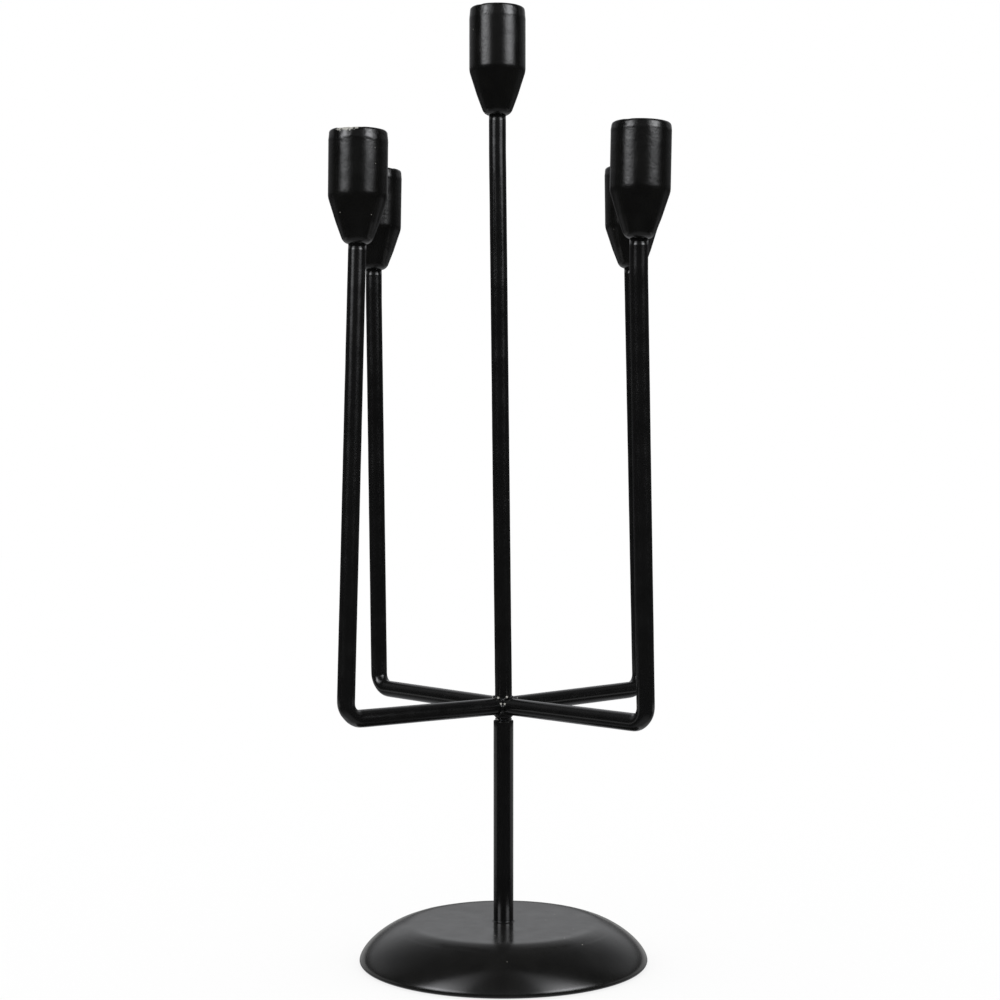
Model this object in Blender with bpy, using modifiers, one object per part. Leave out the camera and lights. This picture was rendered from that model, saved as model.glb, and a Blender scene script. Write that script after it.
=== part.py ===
# Five-light candelabrum in black painted steel and iron.
# A round cast base carries a short lower stem. The upper section is one
# centre rod with four bent arms welded round its foot, and a candle cup on
# the top of every bar. The upper section unscrews from the lower stem on a
# threaded stud, so the piece packs in two halves.
#
# World frame: metres, +Z up, origin at the middle of the pad's underside.
# The arms stand on the diagonals, and the front is -Y.

import math

import bmesh
import bpy
from mathutils import Matrix, Vector

MM = 0.001
GAP = 0.3 * MM
MERGE = 0.00001

# base
BASE_RADIUS = 67.15 * MM
BASE_HEIGHT = 19.2 * MM
BASE_FLAT_RADIUS = 42.0 * MM
BASE_WIDEST_HEIGHT = 2.0 * MM
BASE_FOOT_RADIUS = 65.2 * MM
BASE_FOOT_HEIGHT = 0.2 * MM
EDGE_EXPONENT = 1.5
PAD_RADIUS = 60.5 * MM
PAD_THICKNESS = 1.0 * MM
COUNTERBORE_RADIUS = 9.0 * MM
COUNTERBORE_TOP = 9.0 * MM

# the screw and washer that hold the lower stem to the base
BASE_WASHER_RADIUS = 6.0 * MM
BASE_WASHER_THICKNESS = 1.2 * MM
BASE_SCREW_RADIUS = 3.0 * MM
BASE_SCREW_END = 32.0 * MM
BASE_HEAD_RADIUS = 5.0 * MM
BASE_HEAD_HEIGHT = 3.6 * MM
SOCKET_RADIUS = 2.3 * MM
SOCKET_DEPTH = 2.0 * MM

# lower stem and the screwed joint
STEM_RADIUS = 4.65 * MM
STEM_TOP = 113.3 * MM
STEM_EDGE = 1.0 * MM
STEM_EDGE_BREAK = 0.3 * STEM_EDGE
STUD_RADIUS = 2.5 * MM
STUD_ENGAGEMENT = 8.4 * MM
STUD_LENGTH = 22.0 * MM
STUD_CHAMFER = 0.5 * MM
RING_THICKNESS = 0.5 * MM
RING_RADIUS = 3.9 * MM

# bars
BAR_RADIUS = 4.0 * MM
HUB_HEIGHT = 119.9 * MM
HUB_CLEARANCE = 0.4 * MM
BEND_RADIUS = 7.2 * MM
KNEE_RISE = 8.0 * MM
TIP_LENGTH = 14.0 * MM
CENTRE_LEAN = (-0.64, 0.0)
PLUMB = (0.0, 0.0)
HOLE_SIDES = 20
HOLE_RUNOUT = 2.0 * MM

# the four arms were bent and welded by hand, so each is a little out of true:
# heading in degrees from +X, distance from the axis to the upright, rise of
# the level part in degrees, the lean of the upright and of its tip in degrees
# towards +X, +Y, and the cup's own tilt towards +X
ARMS = {
    "front_left": {
        "heading": -135.6, "reach": 91.4 * MM, "rise": 0.75,
        "lean": (1.28, 1.70), "tip": (1.28, 1.70), "cup_tilt": 0.7,
    },
    "front_right": {
        "heading": -45.4, "reach": 93.25 * MM, "rise": 0.55,
        "lean": (-1.0, -1.60), "tip": PLUMB, "cup_tilt": 1.2,
    },
    "back_right": {
        "heading": 45.4, "reach": 91.5 * MM, "rise": 0.65,
        "lean": (-1.20, -0.80), "tip": (-1.20, -0.80), "cup_tilt": -0.8,
    },
    "back_left": {
        "heading": 135.6, "reach": 92.4 * MM, "rise": 0.45,
        "lean": (-0.68, -0.40), "tip": PLUMB, "cup_tilt": 1.1,
    },
}

# candle cups
OUTER_RIM_HEIGHT = 378.4 * MM
CENTRE_RIM_HEIGHT = 443.6 * MM
CUP_RADIUS = 13.05 * MM
CUP_BORE_RADIUS = 11.3 * MM
CUP_BORE_DEPTH = 27.0 * MM
CUP_STRAIGHT = 28.6 * MM
CUP_LENGTH = 49.6 * MM
CUP_FOOT_RADIUS = 6.0 * MM
CUP_RIM_FILLET = 0.8 * MM
CUP_SHOULDER_FILLET = 9.0 * MM
CUP_WAIST_RADIUS = 9.5 * MM
CUP_WAIST_DROP = 40.3 * MM
CUP_WAIST_FILLET = 30.0 * MM
CUP_FOOT_FILLET = 4.2 * MM
HEAD_POCKET_DEPTH = 4.5 * MM
HEAD_POCKET_RADIUS = 4.6 * MM
CUP_SCREW_RADIUS = 2.0 * MM
CUP_SCREW_REACH = 10.0 * MM
SCREW_HEAD_RADIUS = 4.0 * MM
SCREW_HEAD_HEIGHT = 2.8 * MM
SCREW_CROWN_RADIUS = 0.7 * SCREW_HEAD_RADIUS
SCREW_CROWN_HEIGHT = 0.6 * SCREW_HEAD_HEIGHT

# weld beads in the corners between neighbouring arms, with their headings
BEAD_RADIUS = 1.0 * MM
BEAD_HALF_HEIGHT = 3.4 * MM
BEAD_DISTANCE = 7.7 * MM
BEADS = {"front": -90.5, "right": 0.0, "back": 90.5, "left": 180.0}

RING_BOTTOM = STEM_TOP + GAP
ROD_BOTTOM = RING_BOTTOM + RING_THICKNESS + GAP


# scene helpers

def clear_scene():
    for thing in list(bpy.data.objects):
        bpy.data.objects.remove(thing, do_unlink=True)
    for group in list(bpy.data.collections):
        bpy.data.collections.remove(group)


def new_collection(name):
    group = bpy.data.collections.new(name)
    bpy.context.scene.collection.children.link(group)
    return group


def new_material(name, colour, roughness, metallic):
    surface = bpy.data.materials.new(name)
    surface.use_nodes = True
    shader = surface.node_tree.nodes["Principled BSDF"]
    shader.inputs["Base Color"].default_value = (*colour, 1.0)
    shader.inputs["Roughness"].default_value = roughness
    shader.inputs["Metallic"].default_value = metallic
    return surface


def new_empty(name, location, parent=None):
    holder = bpy.data.objects.new(name, None)
    holder.empty_display_size = 0.02
    holder.location = location
    holder.parent = parent
    parts.objects.link(holder)
    return holder


def add_part(name, mesh, surface, location, parent):
    """Puts a mesh in the scene as a named piece, at a place in its parent's frame."""
    piece = bpy.data.objects.new(name, mesh)
    piece.location = location
    piece.parent = parent
    mesh.materials.clear()
    mesh.materials.append(surface)
    parts.objects.link(piece)
    return piece


# shape helpers

def rounded_outline(corners, steps=4):
    """A closed (radius, height) outline, with each corner's arc worked out from its fillet radius."""
    outline = []
    count = len(corners)
    for i, (r, z, fillet) in enumerate(corners):
        corner = Vector((r, z))
        if fillet == 0.0:
            outline.append(corner)
            continue
        before = (Vector(corners[i - 1][:2]) - corner).normalized()
        after = (Vector(corners[(i + 1) % count][:2]) - corner).normalized()
        half = before.angle(after) / 2
        centre = corner + (before + after).normalized() * fillet / math.sin(half)
        reach = fillet / math.tan(half)
        first = corner + before * reach - centre
        sweep = first.angle_signed(corner + after * reach - centre)
        for step in range(steps + 1):
            turn = Matrix.Rotation(-sweep * step / steps, 2)
            outline.append(centre + turn @ first)
    return [(p.x, p.y) for p in outline]


def turned(name, outline, sides, surface, location, parent, closed=True):
    """Turns an outline about Z. It runs down the outer side first, from top to bottom."""
    mesh = bpy.data.meshes.new(name)
    points = [(r, 0.0, z) for r, z in outline]
    edges = [(i, i + 1) for i in range(len(points) - 1)]
    if closed:
        edges.append((len(points) - 1, 0))
    mesh.from_pydata(points, edges, [])
    piece = add_part(name, mesh, surface, location, parent)
    lathe = piece.modifiers.new("turned", "SCREW")
    lathe.axis = "Z"
    lathe.angle = 2 * math.pi
    lathe.steps = sides
    lathe.render_steps = sides
    lathe.use_merge_vertices = True
    lathe.merge_threshold = MERGE
    lathe.use_smooth_shade = True
    return piece


def bar(name, route, surface, location, parent):
    """A round bar along a route, as a closed mesh that can be drilled."""
    curve = bpy.data.curves.new(name + "_route", "CURVE")
    curve.dimensions = "3D"
    curve.bevel_depth = BAR_RADIUS
    curve.bevel_resolution = 8
    curve.use_fill_caps = True
    line = curve.splines.new("POLY")
    line.points.add(len(route) - 1)
    for point, place in zip(line.points, route):
        point.co = (*place, 1.0)
    guide = bpy.data.objects.new(name + "_route", curve)
    guide.location = location
    guide.parent = parent
    parts.objects.link(guide)
    bpy.context.view_layer.update()
    evaluated = guide.evaluated_get(bpy.context.evaluated_depsgraph_get())
    mesh = bpy.data.meshes.new_from_object(evaluated)
    bpy.data.objects.remove(guide, do_unlink=True)
    bpy.data.curves.remove(curve)
    weld = bmesh.new()
    weld.from_mesh(mesh)
    bmesh.ops.remove_doubles(weld, verts=weld.verts, dist=MERGE)
    weld.to_mesh(mesh)
    weld.free()
    mesh.shade_smooth()
    mesh.set_sharp_from_angle(angle=math.radians(40))
    return add_part(name, mesh, surface, location, parent)


def drill(piece, radius, low, high, place=(0.0, 0.0)):
    """Cuts a plain vertical hole between two heights in the piece's own frame."""
    mesh = bpy.data.meshes.new(piece.name + "_hole")
    shape = bmesh.new()
    bmesh.ops.create_cone(
        shape, cap_ends=True, segments=HOLE_SIDES, radius1=radius, radius2=radius, depth=high - low
    )
    shape.to_mesh(mesh)
    shape.free()
    cutter = bpy.data.objects.new(piece.name + "_hole", mesh)
    cutter.parent = piece
    cutter.location = (*place, (low + high) / 2)
    cutter.hide_render = True
    cutter.display_type = "WIRE"
    cutters.objects.link(cutter)
    hole = piece.modifiers.new("hole", "BOOLEAN")
    hole.operation = "DIFFERENCE"
    hole.solver = "EXACT"
    hole.object = cutter


def bent_corner(start, corner, end, radius, steps=9):
    """The points of a round bend where two straight runs would meet."""
    before = (start - corner).normalized()
    after = (end - corner).normalized()
    half = before.angle(after) / 2
    centre = corner + (before + after).normalized() * radius / math.sin(half)
    first = corner + before * radius / math.tan(half) - centre
    axis = before.cross(after)
    sweep = math.pi - 2 * half
    return [centre + Matrix.Rotation(-sweep * i / steps, 3, axis) @ first for i in range(steps + 1)]


def lean_slope(lean):
    """Sideways travel for each metre of height, from a lean in degrees towards +X and +Y."""
    return Vector((math.tan(math.radians(lean[0])), math.tan(math.radians(lean[1])), 1.0))


# base and lower stem

def base_outline():
    """The casting's outline: a flat top, a soft superellipse edge, and a foot that rolls under."""
    outline = [(BASE_SCREW_RADIUS + GAP, BASE_HEIGHT)]
    width = BASE_RADIUS - BASE_FLAT_RADIUS
    drop = BASE_HEIGHT - BASE_WIDEST_HEIGHT
    edge_steps = 13
    for step in range(edge_steps + 1):
        turn = math.pi / 2 * step / edge_steps
        r = BASE_FLAT_RADIUS + width * math.sin(turn) ** (2 / EDGE_EXPONENT)
        z = BASE_WIDEST_HEIGHT + drop * abs(math.cos(turn)) ** (2 / EDGE_EXPONENT)
        outline.append((r, z))
    foot_steps = 3
    for step in range(1, foot_steps + 1):
        turn = math.pi / 2 * step / foot_steps
        r = BASE_FOOT_RADIUS + (BASE_RADIUS - BASE_FOOT_RADIUS) * math.cos(turn)
        z = BASE_WIDEST_HEIGHT - (BASE_WIDEST_HEIGHT - BASE_FOOT_HEIGHT) * math.sin(turn)
        outline.append((r, z))
    recess_radius = PAD_RADIUS + GAP
    recess_top = PAD_THICKNESS + GAP
    outline += [
        (recess_radius, BASE_FOOT_HEIGHT),
        (recess_radius, recess_top),
        (COUNTERBORE_RADIUS, recess_top),
        (COUNTERBORE_RADIUS, COUNTERBORE_TOP),
        (BASE_SCREW_RADIUS + GAP, COUNTERBORE_TOP),
    ]
    return outline


def make_base():
    turned("base_casting", base_outline(), 64, black_paint_on_iron, (0, 0, 0), base)
    pad = [(0.0, PAD_THICKNESS), (PAD_RADIUS, PAD_THICKNESS), (PAD_RADIUS, 0.0), (0.0, 0.0)]
    turned("base_pad", pad, 48, felt, (0, 0, 0), base, closed=False)


def make_base_fixing():
    washer_top = COUNTERBORE_TOP - GAP
    washer_bottom = washer_top - BASE_WASHER_THICKNESS
    inner = BASE_SCREW_RADIUS + GAP
    washer = [
        (BASE_WASHER_RADIUS, washer_top),
        (BASE_WASHER_RADIUS, washer_bottom),
        (inner, washer_bottom),
        (inner, washer_top),
    ]
    turned("base_washer", washer, 24, zinc, (0, 0, 0), base)
    head_top = washer_bottom - GAP
    head_bottom = head_top - BASE_HEAD_HEIGHT
    socket_top = head_bottom + SOCKET_DEPTH
    screw = [
        (0.0, BASE_SCREW_END),
        (BASE_SCREW_RADIUS, BASE_SCREW_END),
        (BASE_SCREW_RADIUS, head_top),
        (BASE_HEAD_RADIUS, head_top),
        (BASE_HEAD_RADIUS, head_bottom),
        (SOCKET_RADIUS, head_bottom),
        (SOCKET_RADIUS, socket_top),
        (0.0, socket_top),
    ]
    turned("base_screw", screw, 18, zinc, (0, 0, 0), base, closed=False)


def make_lower_stem():
    bottom = BASE_HEIGHT + GAP
    bottom_hole = BASE_SCREW_RADIUS + GAP
    top_hole = STUD_RADIUS + GAP
    bottom_hole_end = BASE_SCREW_END + HOLE_RUNOUT
    top_hole_end = STEM_TOP - STUD_ENGAGEMENT - HOLE_RUNOUT
    stem = [
        (0.0, top_hole_end),
        (top_hole, top_hole_end),
        (top_hole, STEM_TOP),
        (STEM_RADIUS - STEM_EDGE, STEM_TOP),
        (STEM_RADIUS - STEM_EDGE_BREAK, STEM_TOP - STEM_EDGE_BREAK),
        (STEM_RADIUS, STEM_TOP - STEM_EDGE),
        (STEM_RADIUS, bottom),
        (bottom_hole, bottom),
        (bottom_hole, bottom_hole_end),
        (0.0, bottom_hole_end),
    ]
    turned("lower_stem", stem, 24, black_paint, (0, 0, 0), base, closed=False)


# screwed joint

def make_joint():
    inner = STUD_RADIUS + GAP
    ring = [
        (RING_RADIUS, RING_THICKNESS),
        (RING_RADIUS, 0.0),
        (inner, 0.0),
        (inner, RING_THICKNESS),
    ]
    turned("joint_washer", ring, 24, black_paint, (0, 0, 0), joint)
    stud_bottom = -GAP - STUD_ENGAGEMENT
    stud = [
        (0.0, stud_bottom + STUD_LENGTH),
        (STUD_RADIUS, stud_bottom + STUD_LENGTH),
        (STUD_RADIUS, stud_bottom + STUD_CHAMFER),
        (STUD_RADIUS - STUD_CHAMFER, stud_bottom),
        (0.0, stud_bottom),
    ]
    turned("joint_stud", stud, 18, zinc, (0, 0, 0), upper, closed=False)


# upper section, in the frame of the joint

def height(world_height):
    """A world height in the frame of the upper section, whose origin is the washer's underside."""
    return world_height - RING_BOTTOM


def drill_for_cup_screw(piece, end):
    hole_depth = CUP_SCREW_REACH + HOLE_RUNOUT
    drill(piece, CUP_SCREW_RADIUS + GAP, end.z - hole_depth, end.z + HOLE_RUNOUT, (end.x, end.y))


def make_centre_rod():
    top = height(CENTRE_RIM_HEIGHT - CUP_LENGTH - GAP)
    start = Vector((0, 0, height(ROD_BOTTOM)))
    knee = Vector((0, 0, height(HUB_HEIGHT) + KNEE_RISE))
    shoulder = knee + lean_slope(CENTRE_LEAN) * (top - TIP_LENGTH - knee.z)
    end = shoulder + lean_slope(PLUMB) * TIP_LENGTH
    rod = bar("centre_rod", [start, knee, shoulder, end], black_paint, (0, 0, 0), upper)
    stud_hole_top = STUD_LENGTH - GAP - STUD_ENGAGEMENT + HOLE_RUNOUT
    drill(rod, STUD_RADIUS + GAP, start.z - HOLE_RUNOUT, stud_hole_top)
    drill_for_cup_screw(rod, end)
    return end


def make_arm(side, shape):
    along = Vector((math.cos(math.radians(shape["heading"])), math.sin(math.radians(shape["heading"])), 0))
    hub = Vector((0, 0, height(HUB_HEIGHT)))
    climb = Vector((0, 0, math.tan(math.radians(shape["rise"]))))
    start = hub + (along + climb) * (BAR_RADIUS + HUB_CLEARANCE)
    corner = hub + (along + climb) * shape["reach"]
    top = height(OUTER_RIM_HEIGHT - CUP_LENGTH - GAP)
    shoulder = corner + lean_slope(shape["lean"]) * (top - TIP_LENGTH - corner.z)
    end = shoulder + lean_slope(shape["tip"]) * TIP_LENGTH
    route = [start, *bent_corner(start, corner, shoulder, BEND_RADIUS), shoulder, end]
    arm = bar("arm_" + side, route, black_paint, (0, 0, 0), upper)
    drill_for_cup_screw(arm, end)
    return end


def make_weld_beads():
    mesh = bpy.data.meshes.new("weld_bead")
    shape = bmesh.new()
    bmesh.ops.create_uvsphere(shape, u_segments=12, v_segments=8, radius=BEAD_RADIUS)
    stretch = Matrix.Diagonal((1.0, 1.0, BEAD_HALF_HEIGHT / BEAD_RADIUS, 1.0))
    bmesh.ops.transform(shape, matrix=stretch, verts=shape.verts)
    shape.to_mesh(mesh)
    shape.free()
    mesh.shade_smooth()
    for side, turn in BEADS.items():
        place = Vector((math.cos(math.radians(turn)), math.sin(math.radians(turn)), 0)) * BEAD_DISTANCE
        place.z = height(HUB_HEIGHT)
        add_part("weld_" + side, mesh.copy(), black_paint, place, upper)


def make_cup(side, bar_end, tilt):
    """A cup and its screw, with their origin in the middle of the rim, tilted over the end of the bar."""
    hole = CUP_SCREW_RADIUS + GAP
    pocket = CUP_BORE_DEPTH + HEAD_POCKET_DEPTH
    cup = rounded_outline([
        (CUP_RADIUS, 0.0, CUP_RIM_FILLET),
        (CUP_RADIUS, -CUP_STRAIGHT, CUP_SHOULDER_FILLET),
        (CUP_WAIST_RADIUS, -CUP_WAIST_DROP, CUP_WAIST_FILLET),
        (CUP_FOOT_RADIUS, -CUP_LENGTH, CUP_FOOT_FILLET),
        (hole, -CUP_LENGTH, 0.0),
        (hole, -pocket, 0.0),
        (HEAD_POCKET_RADIUS, -pocket, 0.0),
        (HEAD_POCKET_RADIUS, -CUP_BORE_DEPTH, 0.0),
        (CUP_BORE_RADIUS, -CUP_BORE_DEPTH, 0.0),
        (CUP_BORE_RADIUS, 0.0, 0.0),
    ], steps=3)
    lean = Matrix.Rotation(math.radians(tilt), 3, "Y")
    rim = bar_end + Vector((0, 0, GAP)) + lean @ Vector((0, 0, CUP_LENGTH))
    body = turned("cup_" + side, cup, 32, black_paint, rim, upper)
    head_bottom = -pocket + GAP
    screw_end = -CUP_LENGTH - GAP - CUP_SCREW_REACH
    screw = [
        (0.0, head_bottom + SCREW_HEAD_HEIGHT),
        (SCREW_CROWN_RADIUS, head_bottom + SCREW_HEAD_HEIGHT),
        (SCREW_HEAD_RADIUS, head_bottom + SCREW_CROWN_HEIGHT),
        (SCREW_HEAD_RADIUS, head_bottom),
        (CUP_SCREW_RADIUS, head_bottom),
        (CUP_SCREW_RADIUS, screw_end),
        (0.0, screw_end),
    ]
    fixing = turned("screw_" + side, screw, 14, zinc, rim, upper, closed=False)
    for piece in (body, fixing):
        piece.rotation_euler = (0, math.radians(tilt), 0)


clear_scene()
parts = new_collection("candelabrum")
cutters = new_collection("cutters")

black_paint = new_material("black_paint", (0.012, 0.012, 0.011), 0.42, 0.0)
black_paint_on_iron = new_material("black_paint_on_iron", (0.014, 0.014, 0.013), 0.45, 0.0)
felt = new_material("felt", (0.02, 0.02, 0.02), 0.95, 0.0)
zinc = new_material("zinc", (0.45, 0.46, 0.47), 0.35, 1.0)

base = new_empty("base", (0, 0, 0))
joint = new_empty("joint", (0, 0, RING_BOTTOM))
upper = new_empty("upper_section", (0, 0, 0), joint)

make_base()
make_base_fixing()
make_lower_stem()
make_joint()
make_cup("centre", make_centre_rod(), 0.0)
for arm_side, arm_shape in ARMS.items():
    make_cup(arm_side, make_arm(arm_side, arm_shape), arm_shape["cup_tilt"])
make_weld_beads()
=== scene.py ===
# Looks for a five-light candelabrum in satin black powder coat.
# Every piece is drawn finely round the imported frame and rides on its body.

import math
import bmesh
import bpy
from mathutils import Matrix, Vector, noise


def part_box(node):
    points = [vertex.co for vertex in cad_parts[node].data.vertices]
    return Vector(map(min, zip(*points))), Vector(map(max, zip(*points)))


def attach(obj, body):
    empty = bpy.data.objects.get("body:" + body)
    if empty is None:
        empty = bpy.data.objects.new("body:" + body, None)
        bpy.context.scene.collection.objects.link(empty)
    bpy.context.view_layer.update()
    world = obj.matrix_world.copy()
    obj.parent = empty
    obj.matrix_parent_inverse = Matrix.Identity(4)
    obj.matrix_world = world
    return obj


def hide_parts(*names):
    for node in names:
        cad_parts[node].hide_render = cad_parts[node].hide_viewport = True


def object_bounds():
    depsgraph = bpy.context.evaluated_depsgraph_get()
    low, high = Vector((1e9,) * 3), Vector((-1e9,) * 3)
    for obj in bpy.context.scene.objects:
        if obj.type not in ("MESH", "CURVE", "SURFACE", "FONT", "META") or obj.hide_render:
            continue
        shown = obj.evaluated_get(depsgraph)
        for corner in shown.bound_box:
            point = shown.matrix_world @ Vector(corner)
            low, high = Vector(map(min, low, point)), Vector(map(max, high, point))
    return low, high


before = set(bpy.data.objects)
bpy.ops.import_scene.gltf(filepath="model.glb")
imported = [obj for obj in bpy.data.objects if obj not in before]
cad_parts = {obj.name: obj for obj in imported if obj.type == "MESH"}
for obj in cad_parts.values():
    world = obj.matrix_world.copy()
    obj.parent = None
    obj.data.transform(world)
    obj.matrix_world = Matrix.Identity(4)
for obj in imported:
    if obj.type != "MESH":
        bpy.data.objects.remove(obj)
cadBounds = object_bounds()
mm = 0.001
gap = 0.3 * mm                   # air round a screw, a washer or the pad
nearAxis = 0.1 * mm              # where the outline of a solid turned piece ends
up = Vector((0, 0, 1))

cupSides = ["centre", "front_left", "front_right", "back_right", "back_left"]
armSides = cupSides[1:]


def linear(hexColour):
    # sRGB hex to the linear values that shaders take
    values = [int(hexColour[i:i + 2], 16) / 255 for i in (1, 3, 5)]
    return tuple(v / 12.92 if v <= 0.04045 else ((v + 0.055) / 1.055) ** 2.4 for v in values) + (1.0,)


def addNode(tree, kind, inputs=None, **settings):
    # one node, with its settings, its values and the links into it
    node = tree.nodes.new(kind)
    for name, value in settings.items():
        setattr(node, name, value)
    for socket, value in (inputs or {}).items():
        if isinstance(value, bpy.types.NodeSocket):
            tree.links.new(value, node.inputs[socket])
        else:
            node.inputs[socket].default_value = value
    return node


def middle(node):
    low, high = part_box(node)
    return (low + high) / 2


def sectionCentre(node, point, normal):
    # the middle of the cut that a plane makes through a node of the frame
    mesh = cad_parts[node].data
    places = [v.co for v in mesh.vertices]
    side = [(p - point).dot(normal) for p in places]
    cuts = []
    for edge in mesh.edges:
        a, b = edge.vertices
        if side[a] * side[b] < 0:
            cuts.append(places[a].lerp(places[b], side[a] / (side[a] - side[b])))
    low = Vector([min(c[i] for c in cuts) for i in range(3)])
    high = Vector([max(c[i] for c in cuts) for i in range(3)])
    return (low + high) / 2


def ownAxis(node):
    # a leaning turned piece: a matrix with its origin at the foot and Z up the piece's axis
    low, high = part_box(node)
    lower, upper = [sectionCentre(node, up * (low.z + (high.z - low.z) * share), up)
                    for share in (0.25, 0.85)]
    axis = (upper - lower).normalized()
    foot = min((v.co - lower).dot(axis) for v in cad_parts[node].data.vertices)
    lean = up.rotation_difference(axis).to_matrix().to_4x4()
    return Matrix.Translation(lower + axis * foot) @ lean


def finishPiece(name, mesh, surface, body, node):
    mesh.shade_smooth()
    mesh.materials.append(surface)
    piece = bpy.data.objects.new(name, mesh)
    bpy.context.scene.collection.objects.link(piece)
    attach(piece, body)
    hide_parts(node)


def stackRings(name, rings, closed):
    # a skin over a stack of rings; closed joins the last ring to the first, otherwise both ends get a cap
    around = len(rings[0])
    verts = [v for ring in rings for v in ring]
    faces = []
    pairs = len(rings) if closed else len(rings) - 1
    for i in range(pairs):
        a = i * around
        b = (i + 1) % len(rings) * around
        for j in range(around):
            k = (j + 1) % around
            faces.append((a + j, a + k, b + k, b + j))
    if not closed:
        first = len(verts)
        verts.append(sum((Vector(v) for v in rings[0]), Vector()) / around)
        verts.append(sum((Vector(v) for v in rings[-1]), Vector()) / around)
        last = (len(rings) - 1) * around
        for j in range(around):
            k = (j + 1) % around
            faces.append((first, k, j))
            faces.append((first + 1, last + j, last + k))
    mesh = bpy.data.meshes.new(name)
    mesh.from_pydata([tuple(v) for v in verts], [], faces)
    shape = bmesh.new()
    shape.from_mesh(mesh)
    bmesh.ops.recalc_face_normals(shape, faces=shape.faces)
    shape.to_mesh(mesh)
    shape.free()
    mesh.update()
    return mesh


def roundCorners(corners, closed=True):
    # (radius, height, fillet, arc steps) corners to a fine outline
    outline = []
    count = len(corners)
    for i, (r, z, fillet, steps) in enumerate(corners):
        corner = Vector((r, z))
        atEnd = not closed and i in (0, count - 1)
        if fillet == 0 or atEnd:
            outline.append(corner)
            continue
        before = (Vector(corners[i - 1][:2]) - corner).normalized()
        after = (Vector(corners[(i + 1) % count][:2]) - corner).normalized()
        half = before.angle(after) / 2
        centre = corner + (before + after).normalized() * fillet / math.sin(half)
        first = corner + before * fillet / math.tan(half) - centre
        last = corner + after * fillet / math.tan(half) - centre
        sweep = first.angle_signed(last)
        for step in range(steps + 1):
            outline.append(centre + Matrix.Rotation(-sweep * step / steps, 2) @ first)
    return outline


def splitLong(outline, longest, closed=True):
    # extra points along the straight runs, so that dents and ripples have mesh to show in
    fine = []
    count = len(outline)
    for i in range(count if closed else count - 1):
        a, b = outline[i], outline[(i + 1) % count]
        steps = max(1, math.ceil((b - a).length / longest))
        fine += [a.lerp(b, s / steps) for s in range(steps)]
    if not closed:
        fine.append(outline[-1])
    return fine


def markWearAndGlints(mesh, wearAndGlintOf):
    # how hard each point has been knocked, from 0 to 1, for the paint to read; on the weld lumps it marks
    # painted highlight spots instead
    wear = mesh.attributes.new("wear", "FLOAT", "POINT")
    for i, vertex in enumerate(mesh.vertices):
        wear.data[i].value = wearAndGlintOf(vertex.co)


def turn(name, outline, around, closed=True, shift=None, place=Matrix()):
    # turned work about Z, then put in its place; shift moves (radius, angle, height) off the true form
    rings = []
    for r, z in outline:
        ring = []
        for j in range(around):
            angle = 2 * math.pi * j / around
            rr, zz = shift(r, angle, z) if shift else (r, z)
            ring.append(place @ Vector((rr * math.cos(angle), rr * math.sin(angle), zz)))
        rings.append(ring)
    return stackRings(name, rings, closed)


coat = {
    "cloud": 9 * mm,                             # patches where the colour and the gloss drift
    "peel": 1.0 * mm, "peelDepth": 0.022 * mm,   # orange peel of the baked powder
    "swell": 7.0 * mm, "swellDepth": 0.05 * mm,  # slow unevenness of the film
    "roughness": 0.20, "glossDrift": (-0.03, 0.04),
    # a speck of dust in each cell, 0.3 mm in radius: coarser than real dust, so that it shows
    "dustCell": 11 * mm, "dustSize": 0.028, "dust": "#b9b7ae",
    # the paint is off where the wear and a ragged noise add up to this, and the same pale colour draws the
    # painted highlight spots on the weld lumps
    "ragged": 0.9 * mm, "chipAndGlintRange": (0.86, 0.96), "bareAndGlint": "#a3a29c",
}


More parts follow.
